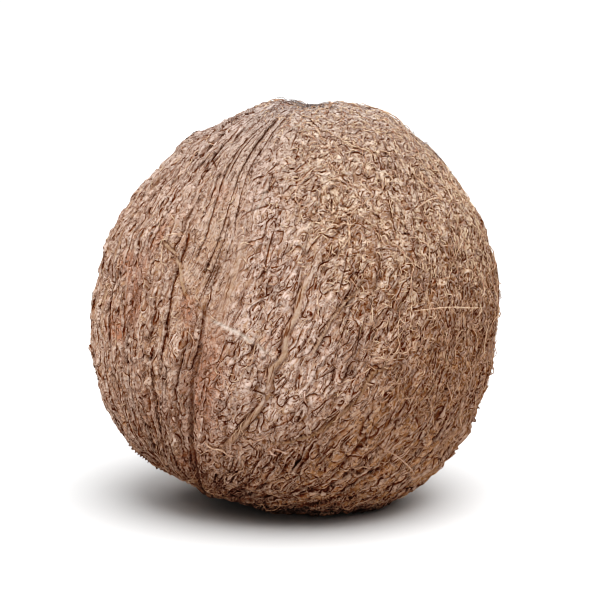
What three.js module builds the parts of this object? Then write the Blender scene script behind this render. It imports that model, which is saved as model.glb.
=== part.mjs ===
// A dried coconut with its outer husk taken off, so that the coir still covers the nut. It rests
// on a small flat spot. Millimetres, +Z up, the origin under the middle of the nut.
//
// The nut is one solid. Its fibres run from the crown, on top, to the tip, at the lower left, in
// planes through the straight core line that joins the two. The grid of the surface follows
// them: every second column of the grid lies on the crest of a fibre bundle, and the columns
// between lie in the furrows.

import * as THREE from "three";
import { mergeVertices } from "three/addons/utils/BufferGeometryUtils.js";

// The body, before its swellings and its relief
const WIDTH = 117;
const DEPTH = 115;
const HEIGHT = 121.5;
const REST_SINK = 2.4; // how much of the roundest spot below is pressed flat

// Where the fibres begin and end, as directions from the middle of the nut
const CROWN = new THREE.Vector3(0.075, 0.022, 0.997).normalize();
const TIP = new THREE.Vector3(-0.45, -0.22, -0.865).normalize();

// The broad swellings and flats that make the nut out of round: the way each faces, its rise and
// its spread in radians
const SWELLINGS = [
  { toward: [0.4, 0.05, 0.92], rise: 1.9, spread: 0.45 },
  { toward: [-0.64, 0, 0.77], rise: -1.4, spread: 0.5 },
  { toward: [-0.88, 0, -0.48], rise: 5.4, spread: 0.52 },
  { toward: [-0.28, -0.1, -0.95], rise: -2.4, spread: 0.26 },
  { toward: [0.62, -0.1, -0.78], rise: 3.2, spread: 0.5 },
  { toward: [0.92, 0.3, 0.25], rise: 1.6, spread: 0.35 },
  { toward: [0.1, -0.95, -0.2], rise: 1.2, spread: 0.6 },
  { toward: [-0.4, 0.85, 0.1], rise: 1.8, spread: 0.6 },
];

// The grid of the surface
const BUNDLES = 80;
const COLUMNS = 2 * BUNDLES;
const ROWS = 37;

// The fibre bundles, and the share of their height that shows on each face after its seam
const BUNDLE_HEIGHT = 1.1;
const FACE_ROPINESS = [0.5, 0.75, 1];
const BUNDLE_WANDER = 0.06; // radians

// The three seams, each in the furrow of an odd column: a raised band of straight fibres with a
// groove beside it, which opens towards the tip
const SEAM_COLUMNS = [33, 87, 139];
const BAND_RISE = 1;
const BAND_OFFSET = 5.5;
const BAND_HALF_WIDTH = 5;
const GROOVE_DEPTH = 1.8;
const GROOVE_HALF_WIDTH = 2.4;

// The crumpled skin between the bundles
const DENT_SIZE = 20;
const DENT_DEPTH = 0.7;
const CRUMPLE_SIZE = 8;
const CRUMPLE_DEPTH = 1;

// The two ends
const CROWN_PIT_DEPTH = 2.4;
const CROWN_PIT_RADIUS = 6.5;
const CROWN_PIT_STRETCH = 2.2; // how much longer it is, front to back
const CROWN_BOSS_RISE = 0.8;
const CROWN_BOSS_RADIUS = 12;
const TIP_NIB_RISE = 2.4;
const TIP_NIB_RADIUS = 3.5;

const MEAN_RADIUS = (WIDTH + DEPTH + HEIGHT) / 6;
const HUSK_COLOUR = 0xa17d68;

const { clamp, degToRad, euclideanModulo, lerp, smoothstep } = THREE.MathUtils;
const bell = (distance, width) => Math.exp(-((distance / width) ** 2));

// A repeatable draw, from -1 to 1, for each point of a whole-number lattice
function draw(x, y, z) {
  const wave = Math.sin(x * 127.1 + y * 311.7 + z * 74.7) * 43758.5453;
  return 2 * (wave - Math.floor(wave)) - 1;
}

// Smooth noise between those draws
function noise(x, y, z) {
  const [i, j, k] = [x, y, z].map(Math.floor);
  const [u, v, w] = [x - i, y - j, z - k].map((share) => smoothstep(share, 0, 1));
  const edge = (b, c) => lerp(draw(i, j + b, k + c), draw(i + 1, j + b, k + c), u);
  const side = (c) => lerp(edge(0, c), edge(1, c), v);
  return lerp(side(0), side(1), w);
}

// The same noise over the nut, with features of a given size in millimetres
function skinNoise(onSphere, size, shift) {
  const scaled = onSphere.clone().multiplyScalar(MEAN_RADIUS / size);
  return noise(scaled.x + shift, scaled.y + shift, scaled.z + shift);
}

// The core line, and two directions square to it that turns are counted from
const CORE = CROWN.clone().sub(TIP).normalize();
const CORE_MIDDLE = CROWN.clone().add(TIP).multiplyScalar(0.5);
const TURN_0 = new THREE.Vector3(0, 1, 0).cross(CORE).negate().normalize();
const TURN_90 = new THREE.Vector3().crossVectors(CORE, TURN_0);

// The point of the unit sphere that lies at a turn about the core and a slope from the crown
function sphereAt(turn, slope) {
  const outward = CORE.clone()
    .multiplyScalar(Math.cos(slope))
    .addScaledVector(TURN_0, Math.cos(turn) * Math.sin(slope))
    .addScaledVector(TURN_90, Math.sin(turn) * Math.sin(slope));
  const along = CORE_MIDDLE.dot(outward);
  const reach = Math.sqrt(along * along + 1 - CORE_MIDDLE.lengthSq()) - along;
  return CORE_MIDDLE.clone().addScaledVector(outward, reach);
}

function distanceFromCore(onSphere) {
  return MEAN_RADIUS * onSphere.clone().sub(CORE_MIDDLE).projectOnPlane(CORE).length();
}

// How many columns one column lies past another, from minus to plus half of them all
function columnsPast(from, to) {
  return euclideanModulo(to - from + BUNDLES, COLUMNS) - BUNDLES;
}

// How ropy the surface is at a column: each face has its own share, blended over the seams
function ropiness(column) {
  const weights = SEAM_COLUMNS.map((seam, i) => {
    const span = euclideanModulo(SEAM_COLUMNS[(i + 1) % SEAM_COLUMNS.length] - seam, COLUMNS);
    const away = Math.abs(columnsPast(seam + span / 2, column));
    return 1.01 - smoothstep(away, span / 2 - 5, span / 2 + 5);
  });
  const total = weights.reduce((sum, weight) => sum + weight, 0);
  return weights.reduce((sum, weight, i) => sum + weight * FACE_ROPINESS[i], 0) / total;
}

// The fibre bundles: crests and furrows of uneven strength, which die out at the two ends
function bundleRelief(column, slope, coreDistance) {
  const towardsTip = smoothstep(slope, 0.6 * Math.PI, 0.85 * Math.PI);
  const share = Math.min(1.15, ropiness(column) + 0.5 * towardsTip);
  const strength = Math.max(0.1, 0.85 + 1.1 * noise(column * 0.8, slope * 4, 7));
  const room = smoothstep(coreDistance, 3, 30);
  const side = column % 2 === 0 ? 1 : -1;
  return 0.5 * BUNDLE_HEIGHT * share * strength * room * side;
}

function seamRelief(column, slope, coreDistance) {
  const opening = 0.2 + 0.8 * smoothstep(slope, 0.4 * Math.PI, 0.75 * Math.PI);
  const room = smoothstep(coreDistance, 3, 18);
  return SEAM_COLUMNS.reduce((sum, seam) => {
    const past = columnsPast(seam, column) * ((2 * Math.PI) / COLUMNS) * coreDistance;
    const band = BAND_RISE * bell(past + BAND_OFFSET, BAND_HALF_WIDTH);
    const groove = GROOVE_DEPTH * opening * bell(past, GROOVE_HALF_WIDTH);
    return sum + room * (band - groove);
  }, 0);
}

function skinRelief(onSphere) {
  const dents = DENT_DEPTH * skinNoise(onSphere, DENT_SIZE, 11);
  const crumples = CRUMPLE_DEPTH * skinNoise(onSphere, CRUMPLE_SIZE, 23);
  return dents + crumples;
}

// The long pit in the crown, the low boss round it, and the pointed nib at the tip
function endRelief(onSphere) {
  const fromCrown = onSphere.clone().sub(CROWN).multiplyScalar(MEAN_RADIUS);
  const fromTip = MEAN_RADIUS * onSphere.angleTo(TIP);
  const boss = CROWN_BOSS_RISE * bell(fromCrown.length() - CROWN_BOSS_RADIUS, 5);
  const squeezed = fromCrown.setY(fromCrown.y / CROWN_PIT_STRETCH);
  const pit = CROWN_PIT_DEPTH * bell(squeezed.length(), CROWN_PIT_RADIUS);
  const nib = TIP_NIB_RISE * Math.exp(-fromTip / TIP_NIB_RADIUS);
  return boss + nib - pit;
}

function swelling(onSphere) {
  return SWELLINGS.reduce((sum, { toward, rise, spread }) => {
    const facing = new THREE.Vector3(...toward).normalize();
    return sum + rise * bell(onSphere.angleTo(facing), spread);
  }, 0);
}

// Moves a point of a plain sphere's grid, whose axis is Y, on to the nut
function ontoNut(gridPoint) {
  const slope = Math.acos(clamp(gridPoint.y, -1, 1));
  const gridTurn = Math.atan2(-gridPoint.z, gridPoint.x);
  const column = Math.round(euclideanModulo(gridTurn / (2 * Math.PI), 1) * COLUMNS) % COLUMNS;
  const straight = sphereAt(gridTurn, slope);
  const wander = BUNDLE_WANDER * skinNoise(straight, 22, 31) * Math.sin(slope);
  const onSphere = sphereAt(gridTurn + wander, slope);
  const coreDistance = distanceFromCore(onSphere);
  const rise =
    swelling(onSphere) +
    seamRelief(column, slope, coreDistance) +
    bundleRelief(column, slope, coreDistance) +
    skinRelief(onSphere) +
    endRelief(onSphere);
  return new THREE.Vector3(WIDTH / 2, DEPTH / 2, HEIGHT / 2)
    .multiply(onSphere)
    .addScaledVector(onSphere, rise);
}

function nutGeometry() {
  const sphere = new THREE.SphereGeometry(1, COLUMNS, ROWS);
  sphere.deleteAttribute("normal");
  sphere.deleteAttribute("uv");
  const geometry = mergeVertices(sphere);
  const positions = geometry.getAttribute("position");
  const gridPoint = new THREE.Vector3();
  for (let i = 0; i < positions.count; i++) {
    const placed = ontoNut(gridPoint.fromBufferAttribute(positions, i));
    positions.setXYZ(i, placed.x, placed.y, placed.z);
  }
  return geometry;
}

// Presses the lowest spot flat and puts the origin on that level, under the middle of the nut
function stand(geometry) {
  const positions = geometry.getAttribute("position");
  const box = new THREE.Box3().setFromBufferAttribute(positions);
  const middle = box.getCenter(new THREE.Vector3());
  const floor = box.min.z + REST_SINK;
  for (let i = 0; i < positions.count; i++) {
    const height = Math.max(0, positions.getZ(i) - floor);
    positions.setXYZ(i, positions.getX(i) - middle.x, positions.getY(i) - middle.y, height);
  }
  return geometry;
}

const husk = new THREE.MeshStandardMaterial({
  color: HUSK_COLOUR,
  roughness: 0.95,
  metalness: 0,
});

const coconut = new THREE.Mesh(stand(nutGeometry()), husk);
coconut.name = "coconut";

const part = new THREE.Group();
part.add(coconut);

export default part;
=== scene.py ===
"""Dresses the coconut: its coir skin with flakes, ropes, creases and veins, the matted fibres
that lie on it, the loose hairs, splinters and tufts, and a plain pale stage. Run as a script, it
builds the whole scene.

Lengths in the relief and the fibres are given in millimetres and turned to metres where a mesh
is written, because the frame is in metres.
"""

import math

import bmesh
import bpy
import numpy as np
from mathutils import Matrix, Vector
from mathutils.bvhtree import BVHTree
from mathutils.kdtree import KDTree


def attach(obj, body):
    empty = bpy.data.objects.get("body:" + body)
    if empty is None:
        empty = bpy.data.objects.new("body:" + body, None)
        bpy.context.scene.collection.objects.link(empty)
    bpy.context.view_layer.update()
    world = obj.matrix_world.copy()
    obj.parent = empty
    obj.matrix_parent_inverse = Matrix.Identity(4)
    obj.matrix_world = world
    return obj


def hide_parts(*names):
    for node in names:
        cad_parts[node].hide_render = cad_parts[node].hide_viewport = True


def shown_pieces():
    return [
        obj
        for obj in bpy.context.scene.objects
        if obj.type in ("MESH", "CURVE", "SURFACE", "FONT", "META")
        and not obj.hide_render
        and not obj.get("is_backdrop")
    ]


bl_info = {
    "name": "Coconut dresser",
    "version": (1, 0, 0),
    "blender": (4, 5, 0),
    "location": "3D View > Sidebar > Coconut",
    "description": "Adds the coir skin, the matted fibres and the stage of a dried coconut",
    "category": "Add Mesh",
}

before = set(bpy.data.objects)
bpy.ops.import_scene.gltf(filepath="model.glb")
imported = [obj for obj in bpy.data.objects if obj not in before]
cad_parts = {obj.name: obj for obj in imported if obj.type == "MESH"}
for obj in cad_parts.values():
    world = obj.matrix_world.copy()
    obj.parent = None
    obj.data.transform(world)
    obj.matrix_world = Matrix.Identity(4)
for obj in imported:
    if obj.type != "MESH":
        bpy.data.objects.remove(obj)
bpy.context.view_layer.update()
NUT = "coconut"
BODY = "root"
MM = 0.001

# The plain form under the solid's relief, in millimetres: its middle and its half sizes
FORM_MIDDLE = np.array([0.996, -0.077, 59.319])
FORM_HALF = np.array([58.5, 57.5, 60.75])
MEAN_RADIUS = FORM_HALF.mean()

# Where the fibres begin and end, as directions from that middle, and the core line between them
CROWN = np.array([0.075, 0.022, 0.997])
CROWN /= np.linalg.norm(CROWN)
TIP = np.array([-0.45, -0.22, -0.865])
TIP /= np.linalg.norm(TIP)
CORE = (CROWN - TIP) / np.linalg.norm(CROWN - TIP)
CORE_MIDDLE = (CROWN + TIP) / 2
TURN_0 = np.cross(CORE, [0, 1, 0])
TURN_0 /= np.linalg.norm(TURN_0)
TURN_90 = np.cross(CORE, TURN_0)

# The solid's columns: how many there are, which ones hold a seam, and how far they wander
COLUMNS = 160
SEAM_COLUMNS = (33, 87, 139)
FACE_ROPINESS = (0.0, 0.45, 1.0)
WANDER = 0.06
WANDER_SIZE = 22
WANDER_SHIFT = 31

# The way that most wrinkles run, and how much patterns are squashed along it before they are
# drawn, which lengthens them
WRINKLE_WAY = (0.57, 0.0, 0.82)
WRINKLE_SQUASH = 0.62

# The flakes follow a level over the skin, with an edge at each whole number. How far to the side
# a level is read to find how fast it changes, in mm, and the least change it is taken to have
REACH = 0.1
LEAST_STEEPNESS = 0.02
# From this share on, a point is in a seam's smooth band and has fine, straight lines
BAND_EDGE = 0.4
# How deep the foot of the relief lies in the solid, in mm
SINK = 0.35
# How many times the shell and the laid hairs are smoothed
SMOOTHINGS = 6

# Smooth veins on the skin: half their width in mm, and their routes as (turn, slope) in
# degrees about the core line
VEINS = (
    (0.8, ((102, 77), (100, 86), (100.5, 92), (99, 97), (100.5, 103), (98, 108), (100, 116))),
    (0.75, ((100, 115), (98, 122), (94, 133), (90, 142))),
    (0.5, ((118, 77), (112, 85), (109.5, 91), (108, 98), (107, 102))),
    (0.5, ((44, 75), (47, 79), (52, 82), (57, 84), (60, 87), (62, 91), (65, 95), (68, 98))),
    (0.45, ((133, 95), (125, 100), (124, 107), (122, 112), (119, 120), (112, 127), (103, 133))),
    (0.5, ((106, 52), (105, 58), (105, 63))),
    (0.9, ((205, 60), (209, 75), (206, 90), (211, 108), (207, 125))),
    (0.7, ((262, 48), (258, 66), (264, 84), (261, 100), (266, 121))),
    (0.4, ((338, 64), (343, 80), (340, 95), (346, 112))),
    (0.4, ((20, 70), (24, 88), (19, 104), (22, 122))),
)

# Pale scuffs, given the same way
SCUFFS = (
    (0.8, ((73, 100.5), (80, 101), (87, 101.5), (100, 105))),
    (0.5, ((86, 21), (84, 27), (82, 33))),
    (0.35, ((81, 52), (81, 62), (80, 70))),
    (0.5, ((230, 80), (236, 92))),
)

# Single hairs and splinters: their thickness and how far they stand off the skin, in mm, and
# their routes, as turns and slopes too
SINGLE_HAIRS = (
    (0.4, 1.2, ((131.5, 82.5), (142.5, 79.5), (161.5, 77.5))),
    (0.42, 2.6, ((138.5, 117.5), (145.5, 117.5), (153, 119), (162, 121))),
    (0.35, 1.0, ((137.5, 127), (139, 124.5), (142.5, 124))),
    (0.3, 1.0, ((161, 111), (164.5, 107.5), (166.5, 104))),
    (0.3, 1.0, ((80, 147), (86, 141), (91, 141))),
    (0.3, 0.8, ((68.5, 106), (71, 107), (73, 109.5))),
    (0.6, 0.5, ((109.5, 62.5), (110.5, 66.5), (110.5, 70))),
    (0.35, 1.0, ((134.5, 55), (141, 52), (148, 52))),
)
SPLINTERS = (
    (0.65, 0.4, ((108, 132.5), (109.5, 133), (112, 134))),
    (0.6, 0.4, ((108.5, 131.5), (111, 131), (114.5, 131))),
    (0.45, 0.4, ((109, 110), (109.5, 112), (111, 113.5))),
)

# Grey tufts: the way to each from the middle, how far its fibres spread in mm, and their number
TUFTS = (
    ((0.06, -0.06, 1.0), 8, 120),
    ((0.62, 0.11, 0.77), 7, 70),
)

# The shortest and longest fibre of each kind, the least and most that it lifts, and the length of
# one step of a hair, in mm. Each layer of the mat may lift a little more than the one before
MAT_LAYERS = 4
MAT_LENGTHS = (1.3, 3.8)
MAT_LIFTS = (0.05, 0.2)
LAYER_LIFT = 0.22
HAIR_LENGTHS = (7, 20)
HAIR_LIFTS = (0.4, 1.3)
HAIR_STEP = 0.9
TUFT_LENGTHS = (1.5, 4.5)
TUFT_LIFTS = (0.3, 1.2)

# The suns: the way each one shines, its strength, and its softness in degrees
OVERHEAD = ((-0.12, 0.1, -1), 2.6, 100)
KEY = ((0.31, 0.39, -0.865), 3.08, 15)
FLOOR_LIGHT = ((-0.12, 0.35, -0.92), 3.4, 50)
FLOOR_GREY = 0.65

# Points of the stage's tone curve, as linear light before and after
TONE_CURVE = (
    (0.025, 0.004),
    (0.041, 0.0085),
    (0.061, 0.019),
    (0.091, 0.044),
    (0.159, 0.117),
    (0.205, 0.17),
    (0.27, 0.248),
    (0.35, 0.347),
    (0.45, 0.46),
    (0.6, 0.615),
)


def smoothstep(low, high, value):
    """0 below low, 1 above high and a smooth climb between them."""
    share = np.clip((value - low) / (high - low), 0, 1)
    return share * share * (3 - 2 * share)


def bell(distance, width):
    return np.exp(-((distance / width) ** 2))


def mix(first, second, share):
    return first + (second - first) * share


def draw(cells):
    """A repeatable draw from -1 to 1 for each whole-number cell, as the solid's source has it."""
    wave = np.sin(cells @ np.array([127.1, 311.7, 74.7])) * 43758.5453
    return 2 * (wave - np.floor(wave)) - 1


def noise(points, size, shift=0.0):
    """Smooth noise from -1 to 1 with features of a size in the points' own unit."""
    scaled = points / size + shift
    cell = np.floor(scaled)
    share = smoothstep(0, 1, scaled - cell)
    total = np.zeros(len(points))
    for corner in np.ndindex(2, 2, 2):
        near = np.where(corner, share, 1 - share).prod(axis=1)
        total += near * draw(cell + corner)
    return total


def gradient_noise(points, size, shift=0.0):
    """Noise with no flats at its cells, from about -1 to 1, for creases and grain."""
    scaled = points / size + shift
    cell = np.floor(scaled)
    offset = scaled - cell
    share = offset**3 * (offset * (6 * offset - 15) + 10)
    total = np.zeros(len(points))
    for corner in np.ndindex(2, 2, 2):
        near = np.where(corner, share, 1 - share).prod(axis=1)
        at = cell + corner
        slopes = np.stack([draw(at + 17.3 * axis) for axis in (1, 2, 3)], axis=1)
        total += near * (slopes * (offset - corner)).sum(axis=1)
    return 1.6 * total


class Strands:
    """Where each point of the skin lies along and across the strands that run crown to tip."""

    def __init__(self, toward):
        outward = toward - CORE_MIDDLE
        reach = np.linalg.norm(outward, axis=1)
        self.slope = np.arccos(np.clip(outward @ CORE / reach, -1, 1))
        self.core_distance = MEAN_RADIUS * reach * np.sin(self.slope)
        turn = np.arctan2(outward @ TURN_90, outward @ TURN_0)
        self.turn = turn
        for _ in range(3):
            straight = sphere_at(self.turn, self.slope)
            scaled = MEAN_RADIUS / WANDER_SIZE
            drift = noise(straight * scaled, 1, WANDER_SHIFT)
            self.turn = turn - WANDER * drift * np.sin(self.slope)
        self.column = np.mod(self.turn / (2 * math.pi), 1) * COLUMNS

    def along(self, stretch):
        """Points to take noise at, so that its features are stretched along the strands."""
        return np.stack(
            [
                MEAN_RADIUS * np.cos(self.turn),
                MEAN_RADIUS * np.sin(self.turn),
                MEAN_RADIUS * self.slope / stretch,
            ],
            axis=1,
        )

    def past(self, seam):
        """How far past a seam each point lies, in millimetres across the strands."""
        columns = np.mod(self.column - seam + COLUMNS / 2, COLUMNS) - COLUMNS / 2
        return columns * 2 * math.pi / COLUMNS * self.core_distance

    def ropiness(self):
        weights = []
        for i, seam in enumerate(SEAM_COLUMNS):
            span = (SEAM_COLUMNS[(i + 1) % 3] - seam) % COLUMNS
            away = np.mod(self.column - seam - span / 2 + COLUMNS / 2, COLUMNS) - COLUMNS / 2
            weights.append(1.01 - smoothstep(span / 2 - 5, span / 2 + 5, np.abs(away)))
        weights = np.array(weights)
        return (weights * np.array(FACE_ROPINESS)[:, None]).sum(axis=0) / weights.sum(axis=0)


def sphere_at(turn, slope):
    """The points of the unit sphere at turns about the core line and slopes from the crown."""
    turn, slope = np.atleast_1d(turn), np.atleast_1d(slope)
    outward = (
        np.cos(slope)[:, None] * CORE
        + (np.cos(turn) * np.sin(slope))[:, None] * TURN_0
        + (np.sin(turn) * np.sin(slope))[:, None] * TURN_90
    )
    along = outward @ CORE_MIDDLE
    reach = np.sqrt(along**2 + 1 - CORE_MIDDLE @ CORE_MIDDLE) - along
    return CORE_MIDDLE + outward * reach[:, None]


def route_shares(toward, routes):
    """How far each point lies from the nearest route, counted in its half widths and below 0 on
    the side of lower turns, and how full the route is there: 0 at its ends and 1 elsewhere."""
    points = []
    for half_width, route in routes:
        at = np.radians(np.array(route, float))
        steps = np.linspace(0, len(at) - 1, 40 * len(at))
        turn = np.interp(steps, range(len(at)), at[:, 0])
        slope = np.interp(steps, range(len(at)), at[:, 1])
        ends = np.minimum(steps, len(at) - 1 - steps)
        points += [(p, half_width, e, t) for p, e, t in zip(sphere_at(turn, slope), ends, turn)]
    tree = KDTree(len(points))
    for i, point in enumerate(points):
        tree.insert(point[0], i)
    tree.balance()
    found = [tree.find(p) for p in toward]
    half_widths = np.array([points[f[1]][1] for f in found])
    room = np.array([points[f[1]][2] for f in found])
    turn = np.array([points[f[1]][3] for f in found])
    outward = toward - CORE_MIDDLE
    side = np.sign(np.sin(np.arctan2(outward @ TURN_90, outward @ TURN_0) - turn))
    away = np.array([f[2] for f in found]) * MEAN_RADIUS / half_widths
    return side * away, np.minimum(1, room / 0.8)


def torn(level, steepness, drop):
    """The height, from 0 to 1, of flakes that overlap: each climbs to a raised edge, where the
    level passes a whole number, and falls away over a drop in millimetres."""
    turn = level - np.floor(level)
    return np.minimum(turn**1.4, (1 - turn) / (drop * steepness))


def strand_ways(toward):
    """The way the strands run at each point, towards the tip."""
    ways = -np.cross(toward, np.cross(CORE, toward - CORE_MIDDLE))
    return ways / np.linalg.norm(ways, axis=1)[:, None]


# ---------------------------------------------------------------------------------------------
# Settings
# ---------------------------------------------------------------------------------------------


def length_setting(name, description, default):
    return bpy.props.FloatProperty(name=name, description=description, default=default, min=0)


def colour_setting(name, description, default):
    return bpy.props.FloatVectorProperty(
        name=name, description=description, default=default, size=3, subtype="COLOR", min=0, max=1
    )


def count_setting(name, description, default):
    return bpy.props.IntProperty(name=name, description=description, default=default, min=1)


class ReliefSettings(bpy.types.PropertyGroup):
    cuts: count_setting("Cuts", "Cuts along each edge of the skin's cube", 220)
    flake_size: length_setting("Flake size", "Spacing of the crumpled flakes, in mm", 2.8)
    flake_rise: length_setting("Flake rise", "Height of the flakes' raised edges, in mm", 0.75)
    rope_width: length_setting("Rope width", "Width of a fibre rope, in mm", 4.2)
    rope_rise: length_setting("Rope rise", "Height of the ropes' edges, in mm", 1.6)
    sweep_width: length_setting("Sweep width", "Width of the broad flakes below, in mm", 5.4)
    sweep_rise: length_setting("Sweep rise", "Height of the broad flakes' edges, in mm", 1.9)
    lump_rise: length_setting("Lump rise", "Height of the lumps all over, in mm", 0.22)
    vein_rise: length_setting("Vein rise", "Height of the smooth veins, in mm", 0.5)
    seam_depth: length_setting("Seam depth", "Depth of the crease in each seam, in mm", 0.9)


class ColourSettings(bpy.types.PropertyGroup):
    pale: colour_setting("Pale coir", "Dry, bleached ridges", (0.55, 0.41, 0.35))
    tan: colour_setting("Tan coir", "The common colour of the skin", (0.37, 0.236, 0.174))
    vein: colour_setting("Vein", "The smooth veins and bands", (0.29, 0.195, 0.133))
    straw: colour_setting("Straw", "The palest, yellower fibres", (0.64, 0.48, 0.345))
    ochre: colour_setting("Ochre", "Yellower coir on the flanks", (0.31, 0.20, 0.12))
    # Partly the coir's own tint, partly painted shade below and on the lower right
    stain_and_shade: colour_setting("Stain", "Tint of the coir below and on the flanks", (0.80, 0.685, 0.53))
    russet: colour_setting("Russet", "Reddish patches", (0.33, 0.155, 0.10))
    # This dark brown is painted shade: round the feet of the flakes and between the mat's fibres
    low: colour_setting("Low", "Hollows and the skin under the mat", (0.155, 0.076, 0.041))
    # Painted highlight on the flakes' raised edges
    lip_highlight: colour_setting("Lip", "The raised edges of the flakes", (0.66, 0.52, 0.455))
    # Painted shadow at the flakes' feet and in the creases and grooves, and the grain's dark
    # streaks
    shadow_and_grain_dark: colour_setting("Crack", "The dark below the edges", (0.08, 0.022, 0.005))
    dust: colour_setting("Dust", "The grey bloom at the crown", (0.52, 0.455, 0.43))
    splinter: colour_setting("Splinter", "Fresh, pinkish splinters", (0.60, 0.42, 0.35))
    fuzz: colour_setting("Fuzz", "The grey tufts", (0.34, 0.30, 0.28))
    stone: colour_setting("Stone", "The darker fibres of the grey tufts", (0.16, 0.13, 0.12))
    scuff: colour_setting("Scuff", "Pale scuffs", (0.64, 0.56, 0.49))


class FibreSettings(bpy.types.PropertyGroup):
    seed: bpy.props.IntProperty(name="Seed", description="Seed of every draw", default=7)
    mat_count: count_setting("Mat fibres", "Fibres in each layer of the mat", 1500)
    hair_count: count_setting("Loose hairs", "Longer hairs that lift off the skin", 160)
    thickness: length_setting("Thickness", "Thickness of a fibre, in mm", 0.3)
    step: length_setting("Step", "Length of one step of a short fibre, in mm", 0.6)


def place_setting(name, description, default):
    return bpy.props.FloatProperty(
        name=name, description=description, default=default, unit="LENGTH"
    )


class StageSettings(bpy.types.PropertyGroup):
    lens: length_setting("Lens", "The camera's lens, in mm", 100)
    distance: place_setting("Distance", "From the camera to where it aims", 0.5)
    aim_x: place_setting("Aim x", "Where the camera aims, to the right", 0.0016)
    aim_z: place_setting("Aim z", "Where the camera aims, above the floor", 0.0616)
    elevation: bpy.props.FloatProperty(
        name="Elevation",
        description="How far the camera looks down",
        default=math.radians(8),
        subtype="ANGLE",
    )


# ---------------------------------------------------------------------------------------------
# Materials
# ---------------------------------------------------------------------------------------------


def add_node(tree, kind, inputs=None, **settings):
    """Adds a node, sets its own settings, and links or sets each of its named inputs."""
    node = tree.nodes.new(kind)
    for name, value in settings.items():
        setattr(node, name, value)
    for name, value in (inputs or {}).items():
        if isinstance(value, bpy.types.NodeSocket):
            tree.links.new(value, node.inputs[name])
        else:
            node.inputs[name].default_value = value
    return node


def calculate(tree, operation, first, second):
    node = add_node(tree, "ShaderNodeMath", {0: first, 1: second}, operation=operation)
    return node.outputs[0]


def remap(tree, value, low, high, to_low=0.0, to_high=1.0):
    """A smooth step of a value between two levels."""
    inputs = {"Value": value, "From Min": low, "From Max": high}
    inputs.update({"To Min": to_low, "To Max": to_high})
    node = add_node(tree, "ShaderNodeMapRange", inputs, interpolation_type="SMOOTHSTEP")
    return node.outputs[0]


def blend_colours(tree, share, first, second, kind="MIX"):
    node = add_node(tree, "ShaderNodeMix", {0: share}, data_type="RGBA", blend_type=kind)
    for socket, value in ((node.inputs[6], first), (node.inputs[7], second)):
        if isinstance(value, bpy.types.NodeSocket):
            tree.links.new(value, socket)
        else:
            socket.default_value = (*value, 1) if len(value) == 3 else value
    return node.outputs[2]


def coated(tree, base, coats):
    """A colour under coats of others, each laid over those before it by its share."""
    for share, colour in coats:
        base = blend_colours(tree, share, base, colour)
    return base


def noise_of(tree, vector, size, detail=2.0, distortion=0.0, shift=0.0, roughness=0.5):
    """Blender's noise at a vector in millimetres, with features of a size in millimetres."""
    if shift:
        vector = combine(tree, "ADD", vector, (shift, shift, shift))
    inputs = {"Vector": vector, "Scale": 1 / size, "Detail": detail, "Distortion": distortion}
    inputs["Roughness"] = roughness
    return add_node(tree, "ShaderNodeTexNoise", inputs).outputs["Fac"]


def patches_of(tree, vector, size, low, high, least=0.0, most=1.0, **kind):
    """Patches of a size: a smooth step between two levels of the noise."""
    return remap(tree, noise_of(tree, vector, size, **kind), low, high, least, most)


def highest(tree, *values):
    top = values[0]
    for value in values[1:]:
        top = calculate(tree, "MAXIMUM", top, value)
    return top


def product(tree, *values):
    total = values[0]
    for value in values[1:]:
        total = calculate(tree, "MULTIPLY", total, value)
    return total


def total_of(tree, *values):
    total = values[0]
    for value in values[1:]:
        total = calculate(tree, "ADD", total, value)
    return total


def rest_of(tree, value):
    return calculate(tree, "SUBTRACT", 1.0, value)


def combine(tree, operation, first, second, output=0):
    """A calculation with two vectors."""
    node = add_node(tree, "ShaderNodeVectorMath", {0: first, 1: second}, operation=operation)
    return node.outputs[output]


def strayed(tree, vector, size, amount, shift=0.0):
    """A vector pushed about by noise of a size, so that patterns on it wander."""
    shifted = combine(tree, "ADD", vector, (shift, 0, 0))
    inputs = {"Vector": shifted, "Scale": 1 / size, "Detail": 0.0}
    colour = add_node(tree, "ShaderNodeTexNoise", inputs).outputs["Color"]
    centred = combine(tree, "SUBTRACT", colour, (0.5, 0.5, 0.5))
    push = combine(tree, "MULTIPLY", centred, (2.2 * amount,) * 3)
    return combine(tree, "ADD", vector, push)


def torn_parts(tree, level, steepness, room, edge, foot, least):
    """The flakes of torn() in a material: their height, the painted highlight on their raised
    edge, the painted shadow on the drop and at the foot below it, and the painted brown shade
    round that foot, each from 0 to 1 and only where there is room. Edge and foot are widths in
    millimetres, and there is no foot where the level changes by less than the least per
    millimetre."""
    turn = calculate(tree, "FRACT", level, 0.0)
    rest = rest_of(tree, turn)
    past = calculate(tree, "DIVIDE", turn, steepness)
    before = calculate(tree, "DIVIDE", rest, steepness)
    climb = calculate(tree, "POWER", turn, 1.5)
    height = calculate(tree, "MINIMUM", climb, product(tree, before, 1 / edge))
    # Painted highlight on the raised edge, painted shade round the foot, painted shadow on the
    # drop and at the foot
    lip_highlight = remap(tree, before, edge, 3 * edge, 1.0, 0.0)
    brown = remap(tree, past, 0.0, 2.6 * foot, 1.0, 0.0)
    dark_past = remap(tree, past, 0.0, foot, 1.0, 0.0)
    dark_before = remap(tree, before, 0.0, 0.6 * edge, 1.0, 0.0)
    dark = highest(tree, dark_past, dark_before)
    steep = remap(tree, steepness, 0.5 * least, least)
    clear = product(tree, remap(tree, room, 0.1, 0.6), steep)
    lip_highlight, dark, brown = (product(tree, part, clear) for part in (lip_highlight, dark, brown))
    return product(tree, height, room), lip_highlight, dark, brown


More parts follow.
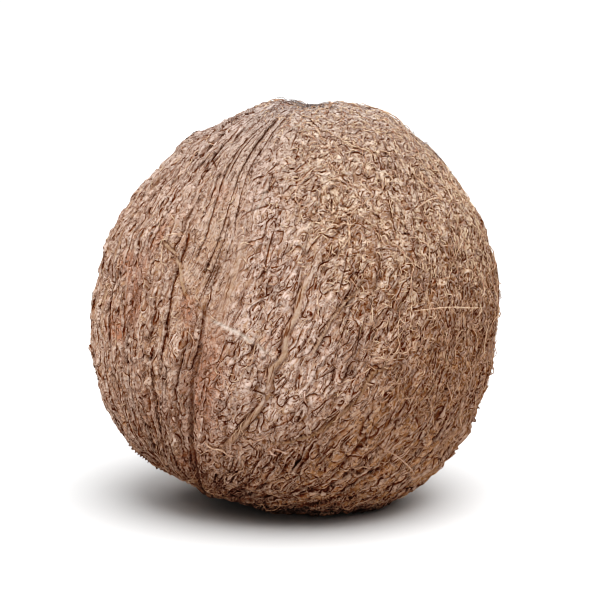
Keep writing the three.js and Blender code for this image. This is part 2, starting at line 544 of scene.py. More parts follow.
def fine_flakes(tree, vector, size, times, edge, foot, shift):
    """The parts of flakes too fine for the mesh, that come and go. The level passes a whole
    number more often the more times it is taken."""
    smooth_kind = {"detail": 0.0, "shift": shift}
    level = noise_of(tree, vector, size, **smooth_kind)
    changes = add_node(tree, "ShaderNodeCombineXYZ")
    for axis, way in enumerate(((REACH, 0, 0), (0, REACH, 0), (0, 0, REACH))):
        beside = noise_of(tree, combine(tree, "ADD", vector, way), size, **smooth_kind)
        tree.links.new(calculate(tree, "SUBTRACT", beside, level), changes.inputs[axis])
    change = combine(tree, "LENGTH", changes.outputs[0], (0, 0, 0), "Value")
    steepness = product(tree, change, 2.2 * times / REACH)
    steepness = calculate(tree, "MAXIMUM", steepness, LEAST_STEEPNESS)
    room = patches_of(tree, vector, 1.1 * size, 0.45, 0.62, detail=0.0, shift=shift + 50)
    level = product(tree, level, 2.2 * times)
    return torn_parts(tree, level, steepness, room, edge, foot, 1.2 * times / size)


def attribute(tree, name, output="Fac"):
    node = add_node(tree, "ShaderNodeAttribute", attribute_name=name)
    return node.outputs[output]


def new_material(name):
    material = bpy.data.materials.new(name)
    material.use_nodes = True
    tree = material.node_tree
    tree.nodes.clear()
    output = add_node(tree, "ShaderNodeOutputMaterial")
    shader = add_node(tree, "ShaderNodeBsdfPrincipled")
    tree.links.new(shader.outputs[0], output.inputs["Surface"])
    return material, tree, shader


def finish_shader(tree, shader, base, roughness, gloss):
    tree.links.new(base, shader.inputs["Base Color"])
    shader.inputs["Roughness"].default_value = roughness
    shader.inputs["Specular IOR Level"].default_value = gloss


def add_bump(tree, shader, height, strength, distance):
    inputs = {"Strength": strength, "Distance": distance, "Height": height}
    bump = add_node(tree, "ShaderNodeBump", inputs).outputs[0]
    tree.links.new(bump, shader.inputs["Normal"])


def stretched(tree, grain, times):
    """The strands' own coordinates, with patterns drawn out along the strands."""
    return combine(tree, "MULTIPLY", grain, (1, 1, 1 / times))


def in_millimetres(tree):
    coordinates = add_node(tree, "ShaderNodeTexCoord").outputs["Object"]
    inputs = {0: coordinates, "Scale": 1000.0}
    return add_node(tree, "ShaderNodeVectorMath", inputs, operation="SCALE").outputs[0]


def height_of(tree, place):
    return add_node(tree, "ShaderNodeSeparateXYZ", {0: place}).outputs[2]


def squashed(tree, place):
    """Places drawn together along the way the wrinkles run, so that patterns on them lengthen."""
    along = combine(tree, "DOT_PRODUCT", place, WRINKLE_WAY, "Value")
    inputs = {0: WRINKLE_WAY, "Scale": product(tree, along, WRINKLE_SQUASH)}
    back = add_node(tree, "ShaderNodeVectorMath", inputs, operation="SCALE").outputs[0]
    return combine(tree, "SUBTRACT", place, back)


def skin_material(colours):
    """Dry coir: torn, overlapping flakes with painted highlights on their raised edges and painted
    shadow at their feet, smoother along the veins and bands, with painted shade in the creases and
    between the mat's fibres.
    """
    material, tree, shader = new_material("coir skin")
    place = in_millimetres(tree)
    grain = attribute(tree, "grain", "Vector")
    smooth = attribute(tree, "smooth")
    rough = rest_of(tree, smooth)
    dust = attribute(tree, "dust")
    matted = attribute(tree, "matted")

    ropes, flakes, sweeps = (
        [attribute(tree, f"{kind}_{part}") for part in ("level", "steepness", "room")]
        for kind in ("rope", "flake", "sweep")
    )
    lengthened = strayed(tree, squashed(tree, place), 1.3, 0.3)
    even = strayed(tree, place, 1.3, 0.3, shift=9.0)
    # The finer flakes are fainter where the skin is ropy
    calm = rest_of(tree, attribute(tree, "calm"))
    layers = (
        (0.5, 0.95, torn_parts(tree, *ropes, edge=0.25, foot=0.65, least=0.2)),
        (0.5, 1.0, torn_parts(tree, *flakes, edge=0.22, foot=0.5, least=0.4)),
        (0.5, 1.0, torn_parts(tree, *sweeps, edge=0.3, foot=1.1, least=0.25)),
        (0.5, calm, fine_flakes(tree, lengthened, 1.4, 1.4, edge=0.2, foot=0.36, shift=5.2)),
        (0.4, 0.85, fine_flakes(tree, even, 0.75, 1.2, edge=0.15, foot=0.22, shift=8.2)),
    )
    height, lip_highlights, feet, browns = 0.0, 0.0, 0.0, 0.0
    for rise, depth, (climb, lip_highlight, foot, brown) in layers:
        height = total_of(tree, product(tree, climb, rise), height)
        lip_highlights = highest(tree, product(tree, lip_highlight, depth), lip_highlights)
        feet = highest(tree, product(tree, foot, depth), feet)
        browns = highest(tree, product(tree, brown, depth), browns)
    # The painted shadow at the feet comes and goes along its length
    fading = patches_of(tree, place, 1.4, 0.38, 0.54, 0.4, 1.0, detail=1.0, shift=70.0)
    fibres = stretched(tree, grain, 14.0)
    fibres = noise_of(tree, fibres, 0.6, detail=1.0, distortion=0.2, shift=5.9)
    streaks = product(tree, remap(tree, fibres, 0.36, 0.42, 0.8, 0.0), smooth)
    # The grain's dark streaks on the smooth bands join the feet, and so do the creases and grooves
    # as painted shade
    feet = highest(tree, product(tree, feet, fading, rough), streaks, attribute(tree, "cleft"))

    dry = noise_of(tree, place, 0.8, roughness=0.7)
    height = total_of(
        tree, product(tree, height, rough), product(tree, fibres, 0.25), product(tree, dry, 0.5)
    )
    add_bump(tree, shader, height, 1.0, MM)

    tone = patches_of(tree, lengthened, 0.8, 0.32, 0.64, detail=1.0, shift=3.3)
    yellow = patches_of(tree, place, 5.0, 0.42, 0.66, 0.0, 0.5, detail=3.0, distortion=0.6)
    red = patches_of(tree, place, 4.0, 0.56, 0.74, 0.0, 0.4, distortion=0.3, shift=40.0)
    # The mat takes more of the paler straw higher up
    higher_up = remap(tree, height_of(tree, place), 50.0, 95.0, 0.0, 0.75)
    # Painted shade between the mat's fibres: dark patches and spots of the skin under the mat
    mat_spot_kind = {"detail": 1.5, "distortion": 0.3, "shift": 90.0}
    mat_shade_spots = patches_of(tree, place, 1.15, 0.54, 0.62, **mat_spot_kind)
    mat_patch_kind = {"detail": 1.0, "distortion": 0.3, "shift": 60.0}
    mat_shade_patches = patches_of(tree, place, 3.2, 0.46, 0.58, 0.0, 0.8, **mat_patch_kind)
    base = blend_colours(tree, tone, colours.tan, colours.pale)
    below_stain = (
        (product(tree, yellow, rest_of(tree, tone)), colours.ochre),
        (red, colours.russet),
        (product(tree, smooth, 0.7), colours.vein),
        (product(tree, attribute(tree, "band"), 0.35), colours.vein),
    )
    over_stain = (
        (product(tree, attribute(tree, "russet"), 0.8), colours.russet),
        (dust, colours.dust),
        (product(tree, matted, higher_up), colours.straw),
        (product(tree, matted, mat_shade_patches), colours.low),
        (product(tree, matted, mat_shade_spots), colours.low),
        # Painted shade round the feet, and painted highlight on the raised edges
        (product(tree, browns, rough, 0.65), colours.low),
        (product(tree, lip_highlights, rough, 0.45), colours.lip_highlight),
        (product(tree, dust, 0.6), colours.dust),
        # Painted shadow at the feet and in the creases and grooves, with the grain's dark streaks
        (product(tree, feet, 0.95), colours.shadow_and_grain_dark),
        (product(tree, attribute(tree, "scuff"), 0.6), colours.scuff),
    )
    base = coated(tree, base, below_stain)
    # Multiplied by the tint where the ochre mask is: yellower, and darker as painted shade below
    # and on the lower right
    base = blend_colours(tree, attribute(tree, "ochre"), base, colours.stain_and_shade, "MULTIPLY")
    base = coated(tree, base, over_stain)
    finish_shader(tree, shader, base, 0.9, 0.06)
    return material


def loose_material(name, colour, darker):
    """Splinters and fuzz: one tone, darker and lighter along their length, with a fine grain."""
    material, tree, shader = new_material(name)
    place = in_millimetres(tree)
    tone = patches_of(tree, place, 1.2, 0.36, 0.66, distortion=0.2, shift=31.0)
    grain = noise_of(tree, place, 0.3, detail=1.0, shift=13.0)
    add_bump(tree, shader, grain, 0.5, 0.1 * MM)
    finish_shader(tree, shader, blend_colours(tree, tone, darker, colour), 0.85, 0.1)
    return material


def fibre_material(colours):
    """One dry fibre: tan, paler and browner from place to place, and more tan lower down."""
    material, tree, shader = new_material("coir fibre")
    place = in_millimetres(tree)
    tone = patches_of(tree, place, 1.0, 0.35, 0.65, shift=2.0)
    browner = patches_of(tree, place, 2.5, 0.45, 0.7, shift=9.0)
    lower = remap(tree, height_of(tree, place), 30.0, 95.0, 0.55, 0.0)
    base = blend_colours(tree, tone, colours.tan, colours.straw)
    coats = ((product(tree, browner, 0.6), colours.russet), (lower, colours.tan))
    finish_shader(tree, shader, coated(tree, base, coats), 0.8, 0.12)
    return material


# ---------------------------------------------------------------------------------------------
# The skin
# ---------------------------------------------------------------------------------------------


def solid_surface():
    """The nut's solid as a tree to cast rays at."""
    form = bmesh.new()
    form.from_mesh(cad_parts[NUT].data)
    bmesh.ops.remove_doubles(form, verts=form.verts, dist=1e-6)
    tree = BVHTree.FromBMesh(form)
    form.free()
    return tree


def matted_share(toward):
    """How much of the skin the mat of fine fibres hides: most at the upper right and behind."""
    right = smoothstep(0.2, 0.55, toward[:, 0] + 0.5 * toward[:, 2] - 0.25 * toward[:, 1] - 0.12)
    low = smoothstep(-0.75, -0.35, toward[:, 2])
    behind = smoothstep(0.1, 0.5, toward[:, 1]) * smoothstep(-0.5, 0.2, toward[:, 0])
    return np.maximum(right, 0.8 * behind) * (0.35 + 0.65 * low)


def warp_of(points):
    """How far patterns are pushed about at each point, in millimetres."""
    coarse = [gradient_noise(points, 4, shift) for shift in (3.7, 9.1, 15.9)]
    fine = [gradient_noise(points, 1.7, shift) for shift in (2.7, 19.1, 5.9)]
    return np.stack(coarse, axis=1) + 0.18 * np.stack(fine, axis=1)


def levels_of(strands, points, warp, settings):
    """The levels whose whole numbers are the edges of the flakes, of the ropes that run with the
    strands and of the broad flakes below, and how much each point is in a seam's smooth band."""
    band = np.zeros(len(points))
    opening = smoothstep(0.35 * math.pi, 0.75 * math.pi, strands.slope)
    for seam in SEAM_COLUMNS:
        beside = bell(strands.past(seam) + 6, 6) * (1 - opening)
        band = np.maximum(band, beside * smoothstep(6, 18, strands.core_distance))
    way = np.array(WRINKLE_WAY)
    squashed_points = points + warp - np.outer((points + warp) @ way, way) * WRINKLE_SQUASH
    flakes = 1.4 * gradient_noise(squashed_points, settings.flake_size, 1.2)
    lengthened = 1.1 * gradient_noise(strands.along(3) + warp, 0.85 * settings.flake_size, 3.1)
    ropes = 1.5 * gradient_noise(strands.along(13) + 0.3 * warp, settings.rope_width, 2.2)
    straight = 1.6 * gradient_noise(strands.along(18) + 0.1 * warp, 2.4, 5.1)
    levels = {
        "flake": np.where(strands.ropiness() > 0.5, lengthened, flakes),
        "rope": np.where(band > BAND_EDGE, straight, ropes),
        "sweep": 2.1 * gradient_noise(strands.along(6) + warp, settings.sweep_width, 8.8),
    }
    return levels, band


def steepness_of(toward, levels, settings):
    """How fast each of the levels changes over the skin, per millimetre."""
    across = np.cross(toward, CORE)
    across /= np.linalg.norm(across, axis=1)[:, None]
    squares = {kind: np.full(len(toward), LEAST_STEEPNESS**2) for kind in levels}
    for way in (across, np.cross(toward, across)):
        moved = toward + way * REACH / MEAN_RADIUS
        points = moved * MEAN_RADIUS
        near, _ = levels_of(Strands(moved), points, warp_of(points), settings)
        for kind, level in levels.items():
            squares[kind] += ((near[kind] - level) / REACH) ** 2
    return {kind: np.sqrt(square) for kind, square in squares.items()}


def seams_of(strands):
    """How smooth the skin is beside the seams, and how much each point is in the crease that each
    seam opens into, below its band and towards the tip. The material paints the crease dark as
    shade."""
    smooth = np.zeros(len(strands.slope))
    cleft = np.zeros(len(strands.slope))
    split = smoothstep(0.55 * math.pi, 0.95 * math.pi, strands.slope)
    for seam in SEAM_COLUMNS:
        past = strands.past(seam)
        flat = bell(past - 3.5, 2.6) * bell(strands.slope - 1.55, 0.35)
        smooth = np.maximum(smooth, 0.8 * flat)
        cleft = np.maximum(cleft, bell(past, 0.35) * split)
    return smooth, cleft


def rooms_of(strands, points, band, low):
    """How much room each point has for the flakes, the ropes and the broad flakes."""
    ropy = strands.ropiness()
    inside = smoothstep(3, 25, strands.core_distance)
    beside_band = 1 - 0.8 * smoothstep(0.2, 0.6, band)
    flakes = smoothstep(-0.7, 0.1, gradient_noise(points, 3.2, 4.4))
    flakes *= smoothstep(0.0, 0.1, np.abs(ropy - 0.5))
    flakes *= beside_band * (1 - 0.25 * low) * (1 - 0.4 * ropy)
    ropes = smoothstep(-0.8, 0.0, gradient_noise(strands.along(4), 4, 4.9))
    patchy = smoothstep(-0.2, 0.5, noise(points, 7, 6.1))
    ropes *= inside * np.maximum(ropy, np.maximum(0.6 * patchy, (0.45 + 0.4 * patchy) * low))
    ropes = np.where(band > BAND_EDGE, 0.8, ropes)
    ropes *= smoothstep(0.0, 0.1, np.abs(band - BAND_EDGE))
    sweeps = smoothstep(-0.7, 0.0, gradient_noise(strands.along(3), 5, 7.7)) * inside
    sweeps *= np.maximum(low, 0.35) * beside_band
    return {"flake": flakes, "rope": ropes, "sweep": sweeps}


def tints_of(toward, strands, points, low):
    """How much each point is tinted: yellower, and darker below and on the lower right, where it
    is partly painted shade; dusty and grey; and reddish.
    """
    ropy = strands.ropiness()
    # Yellower on the ropy flanks, and yellower and darker below: the coir's own tint and painted
    # shade
    ochre = 0.8 * low + 0.35 * ropy
    # Painted shade on the lower right, the side away from the key light
    ochre += 0.75 * smoothstep(0.15, 0.7, toward[:, 0] - 0.55 * toward[:, 2])
    crown_way = np.arccos(np.clip(toward @ CROWN, -1, 1)) * MEAN_RADIUS
    cap = 0.6 * bell(crown_way, 18) * (0.8 + 0.6 * noise(points, 3, 1.9))
    dust = 0.45 * bell(crown_way, 45) + cap
    russet = bell(strands.past(SEAM_COLUMNS[0]) - 4, 5) * bell(strands.slope - 2.1, 0.35)
    russet = np.maximum(russet, smoothstep(0.25, 0.7, noise(points, 9, 14.2)) * ropy)
    return {"ochre": ochre, "dust": dust, "russet": russet}


def skin_relief(toward, settings):
    """The height of the fine relief at each point, in millimetres, and what the skin's material
    reads there."""
    strands = Strands(toward)
    points = toward * MEAN_RADIUS
    warp = warp_of(points)
    levels, band = levels_of(strands, points, warp, settings)
    ropy = strands.ropiness()
    low = smoothstep(0.2, 0.8, -toward[:, 2] + 0.3 * toward[:, 0])
    smooth, cleft = seams_of(strands)
    rooms = rooms_of(strands, points, band, low)
    steepness = steepness_of(toward, levels, settings)
    # The lines of the smooth bands are fine ones
    steepness["rope"] *= 1 - 0.5 * (band > BAND_EDGE)

    # Lumps, and the flakes where there is room for each kind
    rise = settings.lump_rise * gradient_noise(strands.along(1.4) + warp, 2.1, 12.5)
    rise += settings.lump_rise * gradient_noise(points, 4.8, 2.6)
    for kind, height, drop in (
        ("flake", settings.flake_rise, 0.6),
        ("rope", settings.rope_rise, 0.6),
        ("sweep", settings.sweep_rise, 0.7),
    ):
        rise += height * rooms[kind] * torn(levels[kind], steepness[kind], drop)
    rise -= SINK
    rise -= settings.seam_depth * cleft

    # Veins, with a groove on each side, and scuffs. The material paints the grooves dark as shade,
    # more on the side of lower turns
    across, fullness = route_shares(toward, VEINS)
    on_vein = fullness * (1 - smoothstep(0.8, 1.2, np.abs(across)))
    rise = mix(rise, settings.vein_rise * (1 - across**2), on_vein)
    groove = fullness * (bell(across + 1.3, 0.3) + 0.6 * bell(across - 1.3, 0.3))
    rise -= 0.5 * groove
    cleft = np.maximum(cleft * (1 - on_vein), groove)
    across, fullness = route_shares(toward, SCUFFS)
    worn = 0.85 + 0.3 * noise(strands.along(1), 2, 3.3)
    scuff = bell(across, 0.6) * fullness * worn
    smooth = np.maximum(np.maximum(smooth, on_vein), 0.7 * scuff)

    masks = {
        "smooth": smooth,
        "band": band,
        "matted": matted_share(toward) * (1 - 0.8 * ropy),
        "calm": 0.4 * ropy,
        "cleft": cleft,
        "scuff": scuff,
        **tints_of(toward, strands, points, low),
    }
    masks = {name: np.clip(values, 0, 1) for name, values in masks.items()}
    masks["grain"] = strands.along(1)
    for kind in levels:
        masks[f"{kind}_room"] = rooms[kind]
        masks[f"{kind}_level"] = levels[kind]
        masks[f"{kind}_steepness"] = steepness[kind]
    return rise, masks


# The skin's pieces: each is two neighbouring sides of a cube, as axis 1, 2 or 3 and its sign
SKIN_PIECES = {
    "coir_skin_front_top": (-2, 3),
    "coir_skin_right_back": (1, 2),
    "coir_skin_left_below": (-1, -3),
}


def add_attribute(mesh, name, values):
    kind = "FLOAT_VECTOR" if values.ndim == 2 else "FLOAT"
    layer = mesh.attributes.new(name, kind, "POINT")
    layer.data.foreach_set("vector" if values.ndim == 2 else "value", values.ravel())


def finish_piece(piece, material):
    piece.data.materials.clear()
    piece.data.materials.append(material)
    piece.data.shade_smooth()
    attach(piece, BODY)
    return piece


def patch_of(shell, sides):
    """A piece of the shell, from the faces on some sides of its cube, closed with a wedge that
    meets in the middle. Gives it with the number that each of its vertices has in the shell."""
    patch = shell.copy()
    side = patch.faces.layers.int["side"]
    others = [face for face in patch.faces if face[side] not in sides]
    bmesh.ops.delete(patch, geom=others, context="FACES")
    rim = [edge for edge in patch.edges if edge.is_boundary]
    walls = bmesh.ops.extrude_edge_only(patch, edges=rim)["geom"]
    inner = [part for part in walls if isinstance(part, bmesh.types.BMVert)]
    bmesh.ops.pointmerge(patch, verts=inner, merge_co=Vector(FORM_MIDDLE * MM))
    bmesh.ops.recalc_face_normals(patch, faces=patch.faces)
    number = patch.verts.layers.int["number"]
    return patch, np.array([vert[number] for vert in patch.verts])


class COCONUT_OT_add_skin(bpy.types.Operator):
    """Adds the coir skin: a fine shell laid on the solid, with flakes, ropes, seams and veins"""

    bl_idname = "coconut.add_skin"
    bl_label = "Add skin"

    def execute(self, context):
        settings = context.scene.coconut_relief
        surface = solid_surface()
        shell = bmesh.new()
        bmesh.ops.create_cube(shell, size=2)
        bmesh.ops.subdivide_edges(shell, edges=shell.edges, cuts=settings.cuts, use_grid_fill=True)
        # Evens the spacing out, so that the cube's corners don't bunch on the sphere
        spread = np.tan(np.array([v.co for v in shell.verts]) * math.pi / 4)
        toward = spread / np.linalg.norm(spread, axis=1)[:, None]
        side = shell.faces.layers.int.new("side")
        number = shell.verts.layers.int.new("number")
        for face in shell.faces:
            middle = face.calc_center_median()
            axis = max(range(3), key=lambda i: abs(middle[i]))
            face[side] = (axis + 1) * (1 if middle[axis] > 0 else -1)
        middle = Vector(FORM_MIDDLE * MM)
        for index, (vert, way) in enumerate(zip(shell.verts, toward * FORM_HALF)):
            vert[number] = index
            vert.co = surface.ray_cast(middle, Vector(way).normalized())[0]
        axes = {"use_axis_x": True, "use_axis_y": True, "use_axis_z": True}
        for _ in range(SMOOTHINGS):
            bmesh.ops.smooth_vert(shell, verts=shell.verts, factor=0.5, **axes)
        shell.normal_update()
        rise, masks = skin_relief(toward, settings)
        for vert, height in zip(shell.verts, rise):
            vert.co += vert.normal * height * MM
            vert.co.z = max(0.0, vert.co.z)
        shell.normal_update()
        normals = np.array([v.normal for v in shell.verts])
        material = skin_material(context.scene.coconut_colours)
        for name, sides in SKIN_PIECES.items():
            patch, numbers = patch_of(shell, sides)
            mesh = bpy.data.meshes.new(name)
            patch.to_mesh(mesh)
            patch.free()
            for mask, values in masks.items():
                add_attribute(mesh, mask, values[numbers])
            skin = bpy.data.objects.new(name, mesh)
            context.scene.collection.objects.link(skin)
            finish_piece(skin, material)
            # The whole shell's normals, so that the light runs on from piece to piece
            mesh.normals_split_custom_set_from_vertices(normals[numbers])
            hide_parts(NUT)
        shell.free()
        return {"FINISHED"}


# ---------------------------------------------------------------------------------------------
# Fibres
# ---------------------------------------------------------------------------------------------


def skin_tree():
    """The skin's outer surface as a tree to lay fibres on. It leaves out the wedges, whose faces
    come in another order in each run and would change where single fibres turn."""
    shell = bmesh.new()
    for name in SKIN_PIECES:
        shell.from_mesh(bpy.data.objects[name].data)
    # Only the tip of a wedge has more than a few edges
    tips = [vert for vert in shell.verts if len(vert.link_edges) > 8]
    bmesh.ops.delete(shell, geom=tips, context="VERTS")
    tree = BVHTree.FromBMesh(shell)
    shell.free()
    return tree


def random_way(random):
    way = random.normal(size=3)
    return way / np.linalg.norm(way)


def start_at(toward):
    """A place near the skin to lay a fibre from, in metres."""
    return Vector((FORM_MIDDLE + toward * FORM_HALF) * MM)


def heading_at(toward, random, spread):
    """A way across the skin that strays from the strands by a random angle, in radians."""
    angle = random.normal(0, spread)
    along = strand_ways(toward[None])[0]
    return Vector(math.cos(angle) * along + math.sin(angle) * np.cross(toward, along))


def lay_fibre(tree, random, start, heading, length, curl, lift, thickness, step):
    """Points and radii of a fibre that creeps over the skin, in metres, sunk at both ends."""
    count = max(3, round(length / step))
    place, normal, _, _ = tree.find_nearest(start)
    path, radii = [], []
    bend = curl * random.uniform(-1, 1)
    for i in range(count + 1):
        share = i / count
        arch = math.sin(math.pi * share) ** 0.5
        height = (-0.12 + (lift + 0.12) * arch) * MM
        at = place + normal * height
        at.z = max(at.z, 0.2 * MM)
        path.append(at)
        radii.append(thickness / 2 * MM * (0.45 + 0.55 * arch))
        bend = 0.8 * bend + 0.45 * curl * random.normal()
        heading = Matrix.Rotation(bend * step, 3, normal) @ heading
        heading = (heading - normal * heading.dot(normal)).normalized()
        place, normal, _, _ = tree.find_nearest(place + heading * step * MM)
    return path, radii


def lay_route(tree, thickness, lift, route):
    """Points and radii of a fibre that follows a route over the skin, in metres."""
    at = np.radians(np.array(route, float))
    steps = np.linspace(0, len(at) - 1, 6 * len(at))
    turn = np.interp(steps, range(len(at)), at[:, 0])
    slope = np.interp(steps, range(len(at)), at[:, 1])
    path, radii = [], []
    middle = Vector(FORM_MIDDLE * MM)
    for share, toward in zip(np.linspace(0, 1, len(steps)), sphere_at(turn, slope)):
        outward = Vector(toward * FORM_HALF).normalized()
        place = tree.ray_cast(middle + outward * 0.2, -outward)[0]
        arch = math.sin(math.pi * share) ** 0.5
        path.append(place + outward * (lift * arch - 0.1) * MM)
        radii.append(thickness / 2 * MM * (0.4 + 0.6 * arch))
    for _ in range(SMOOTHINGS):
        middles = [(a + 2 * b + c) / 4 for a, b, c in zip(path, path[1:], path[2:])]
        path = [path[0], *middles, path[-1]]
    return path, radii


def fibre_object(name, fibres, sides):
    """Turns fibres into one mesh: each is a tube with a few sides and closed ends."""
    outline = bpy.data.curves.new(name + " outline", "CURVE")
    ring = outline.splines.new("POLY")
    ring.points.add(sides - 1)
    for i, point in enumerate(ring.points):
        angle = 2 * math.pi * i / sides
        point.co = (math.cos(angle), math.sin(angle), 0, 1)
    ring.use_cyclic_u = True
    outline_object = bpy.data.objects.new(name + " outline", outline)
    bpy.context.scene.collection.objects.link(outline_object)
    curve = bpy.data.curves.new(name, "CURVE")
    curve.dimensions = "3D"
    curve.bevel_mode = "OBJECT"
    curve.bevel_object = outline_object
    curve.use_fill_caps = True
    for path, radii in fibres:
        spline = curve.splines.new("POLY")
        spline.points.add(len(path) - 1)
        spline.points.foreach_set("co", [c for p in path for c in (*p, 1)])
        spline.points.foreach_set("radius", radii)
    drawn = bpy.data.objects.new(name + " curve", curve)
    bpy.context.scene.collection.objects.link(drawn)
    bpy.context.view_layer.update()
    shown = drawn.evaluated_get(bpy.context.evaluated_depsgraph_get())
    mesh = bpy.data.meshes.new_from_object(shown)
    mesh.name = name
    for temporary in (drawn, outline_object):
        bpy.data.objects.remove(temporary)
    piece = bpy.data.objects.new(name, mesh)
    bpy.context.scene.collection.objects.link(piece)
    return piece


class COCONUT_OT_add_mat(bpy.types.Operator):
    """Adds the mat: short fibres in a few layers, thick where the skin is matted"""

    bl_idname = "coconut.add_mat"
    bl_label = "Add mat"

    def execute(self, context):
        settings = context.scene.coconut_fibres
        material = fibre_material(context.scene.coconut_colours)
        random = np.random.default_rng(settings.seed)
        tree = skin_tree()
        for layer in range(MAT_LAYERS):
            fibres = []
            count = settings.mat_count
            while len(fibres) < count:
                toward = random_way(random)
                share = matted_share(toward[None])[0]
                if random.random() > 0.12 + 0.88 * share:
                    continue
                start = start_at(toward)
                if start.z < 4 * MM:
                    continue
                fibre = lay_fibre(
                    tree,
                    random,
                    start,
                    heading=heading_at(toward, random, 1.3),
                    length=random.uniform(*MAT_LENGTHS),
                    curl=0.12,
                    lift=random.uniform(MAT_LIFTS[0], MAT_LIFTS[1] + LAYER_LIFT * layer),
                    thickness=settings.thickness * random.uniform(0.7, 1.25),
                    step=settings.step,
                )
                fibres.append(fibre)
            piece = fibre_object(f"coir_mat_{layer + 1}", fibres, 3)
            finish_piece(piece, material)
        return {"FINISHED"}


class COCONUT_OT_add_hairs(bpy.types.Operator):
    """Adds the longer hairs that lie loose on the skin or stand off it, and the splinters"""

    bl_idname = "coconut.add_hairs"
    bl_label = "Add hairs"

    def execute(self, context):
        settings = context.scene.coconut_fibres
        random = np.random.default_rng(settings.seed + 1)
        tree = skin_tree()
        fibres = []
        while len(fibres) < settings.hair_count:
            toward = random_way(random)
            if random.random() > 0.3 + 0.7 * matted_share(toward[None])[0]:
                continue
            start = start_at(toward)
            if start.z < 6 * MM:
                continue
            fibre = lay_fibre(
                tree,
                random,
                start,
                heading=heading_at(toward, random, 0.9),
                length=random.uniform(*HAIR_LENGTHS),
                curl=0.16,
                lift=random.uniform(*HAIR_LIFTS),
                thickness=settings.thickness * random.uniform(0.8, 1.3),
                step=HAIR_STEP,
            )
            fibres.append(fibre)
        fibres += [lay_route(tree, *hair) for hair in SINGLE_HAIRS]
        colours = context.scene.coconut_colours
        finish_piece(fibre_object("loose_hairs", fibres, 4), fibre_material(colours))
        splinters = [lay_route(tree, *splinter) for splinter in SPLINTERS]
        splinter_coir = loose_material("splinter", colours.splinter, colours.tan)
        finish_piece(fibre_object("splinters", splinters, 5), splinter_coir)
        return {"FINISHED"}


class COCONUT_OT_add_tufts(bpy.types.Operator):
    """Adds the grey, fuzzy tufts at the crown and on the shoulder"""

    bl_idname = "coconut.add_tufts"
    bl_label = "Add tufts"

    def execute(self, context):
        settings = context.scene.coconut_fibres
        random = np.random.default_rng(settings.seed + 2)
        tree = skin_tree()
        fibres = []
        for way, spread, count in TUFTS:
            way = np.array(way) / np.linalg.norm(way)
            for _ in range(count):
                toward = way + random.normal(size=3) * spread / 2 / MEAN_RADIUS
                toward /= np.linalg.norm(toward)
                fibre = lay_fibre(
                    tree,
                    random,
                    start_at(toward),
                    heading=heading_at(toward, random, 1.5),
                    length=random.uniform(*TUFT_LENGTHS),
                    curl=0.3,
                    lift=random.uniform(*TUFT_LIFTS),
                    thickness=0.6 * settings.thickness,
                    step=settings.step,
                )
                fibres.append(fibre)
        piece = fibre_object("grey_tufts", fibres, 3)
        colours = context.scene.coconut_colours
        finish_piece(piece, loose_material("grey fuzz", colours.fuzz, colours.stone))
        return {"FINISHED"}


# ---------------------------------------------------------------------------------------------
# The stage
# ---------------------------------------------------------------------------------------------


def add_floor(scene):
    plane = bmesh.new()
    bmesh.ops.create_grid(plane, x_segments=1, y_segments=1, size=40)
    mesh = bpy.data.meshes.new("floor")
    plane.to_mesh(mesh)
    plane.free()
    floor = bpy.data.objects.new("floor", mesh)
    scene.collection.objects.link(floor)
    material, _, shader = new_material("pale floor")
    shader.inputs["Base Color"].default_value = (FLOOR_GREY, FLOOR_GREY, FLOOR_GREY, 1)
    shader.inputs["Roughness"].default_value = 1.0
    shader.inputs["Specular IOR Level"].default_value = 0.0
    mesh.materials.append(material)
    floor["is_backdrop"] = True
    return floor


def dim_overhead(tree):
    """A studio that is white round the horizon and dimmer overhead."""
    direction = add_node(tree, "ShaderNodeTexCoord").outputs["Generated"]
    up = add_node(tree, "ShaderNodeSeparateXYZ", {"Vector": direction}).outputs["Z"]
    strength = remap(tree, up, 0.12, 0.35, to_low=1.05, to_high=0.4)
    background = tree.nodes["Background"]
    tree.links.new(strength, background.inputs["Strength"])
    background.inputs["Color"].default_value = (1, 1, 1, 1)


def deepen_darks(view):
    """A tone curve like a camera's, which deepens the darks and hardly moves the rest."""
    view.use_curve_mapping = True
    curves = view.curve_mapping
    for before, after in TONE_CURVE:
        curves.curves[3].points.new(before, after)
    curves.update()


def add_sun(scene, name, toward, strength, softness):
    light = bpy.data.lights.new(name, "SUN")
    light.energy = strength
    light.angle = math.radians(softness)
    holder = bpy.data.objects.new(name, light)
    holder.rotation_euler = Vector(toward).to_track_quat("-Z", "Y").to_euler()
    scene.collection.objects.link(holder)
    return holder


def shine_only_on(light, pieces):
    """Keeps a light off all but some pieces."""
    lit = bpy.data.collections.new("lit by the " + light.name)
    for piece in pieces:
        lit.objects.link(piece)
    light.light_linking.receiver_collection = lit


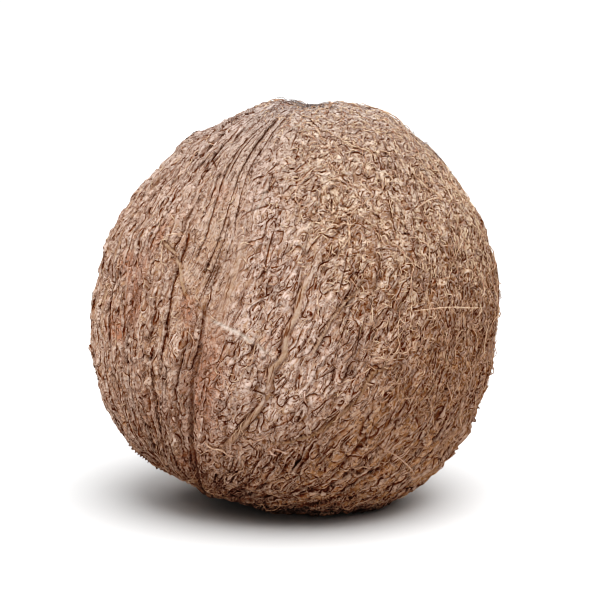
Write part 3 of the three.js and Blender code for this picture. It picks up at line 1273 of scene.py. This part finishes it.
class COCONUT_OT_add_stage(bpy.types.Operator):
    """Adds the pale floor, the soft studio light and the camera"""

    bl_idname = "coconut.add_stage"
    bl_label = "Add stage"

    def execute(self, context):
        scene = context.scene
        settings = scene.coconut_stage
        floor = add_floor(scene)
        world = bpy.data.worlds.new("studio")
        world.use_nodes = True
        dim_overhead(world.node_tree)
        scene.world = world
        scene.view_settings.view_transform = "Standard"
        scene.cycles.use_denoising = True
        scene.cycles.filter_width = 1.1
        deepen_darks(scene.view_settings)
        add_sun(scene, "overhead", *OVERHEAD)
        # The key light leaves the floor alone, so that only a soft shadow lies on it
        shine_only_on(add_sun(scene, "key", *KEY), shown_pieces())
        # A light for the floor alone keeps the shadow close under the nut, to the left
        shine_only_on(add_sun(scene, "floor light", *FLOOR_LIGHT), [floor])
        middle = Vector((settings.aim_x, 0, settings.aim_z))
        lens = bpy.data.cameras.new("camera")
        lens.lens = settings.lens
        camera = bpy.data.objects.new("camera", lens)
        back = Vector((0, -math.cos(settings.elevation), math.sin(settings.elevation)))
        camera.location = middle + back * settings.distance
        camera.rotation_euler = (-back).to_track_quat("-Z", "Y").to_euler()
        scene.collection.objects.link(camera)
        scene.camera = camera
        return {"FINISHED"}


class COCONUT_PT_sidebar(bpy.types.Panel):
    bl_label = "Coconut"
    bl_idname = "COCONUT_PT_sidebar"
    bl_space_type = "VIEW_3D"
    bl_region_type = "UI"
    bl_category = "Coconut"

    def draw(self, context):
        for operator in OPERATORS:
            self.layout.operator(operator.bl_idname)


SETTINGS = {
    "coconut_relief": ReliefSettings,
    "coconut_colours": ColourSettings,
    "coconut_fibres": FibreSettings,
    "coconut_stage": StageSettings,
}
OPERATORS = (
    COCONUT_OT_add_skin,
    COCONUT_OT_add_mat,
    COCONUT_OT_add_hairs,
    COCONUT_OT_add_tufts,
    COCONUT_OT_add_stage,
)


def register():
    for group in SETTINGS.values():
        bpy.utils.register_class(group)
    for operator in OPERATORS:
        bpy.utils.register_class(operator)
    bpy.utils.register_class(COCONUT_PT_sidebar)
    for name, group in SETTINGS.items():
        setattr(bpy.types.Scene, name, bpy.props.PointerProperty(type=group))


def unregister():
    for name in SETTINGS:
        delattr(bpy.types.Scene, name)
    bpy.utils.unregister_class(COCONUT_PT_sidebar)
    for kind in (*reversed(OPERATORS), *reversed(SETTINGS.values())):
        bpy.utils.unregister_class(kind)


def main():
    register()
    bpy.ops.coconut.add_skin()
    bpy.ops.coconut.add_mat()
    bpy.ops.coconut.add_hairs()
    bpy.ops.coconut.add_tufts()
    bpy.ops.coconut.add_stage()


if __name__ == "__main__":
    main()
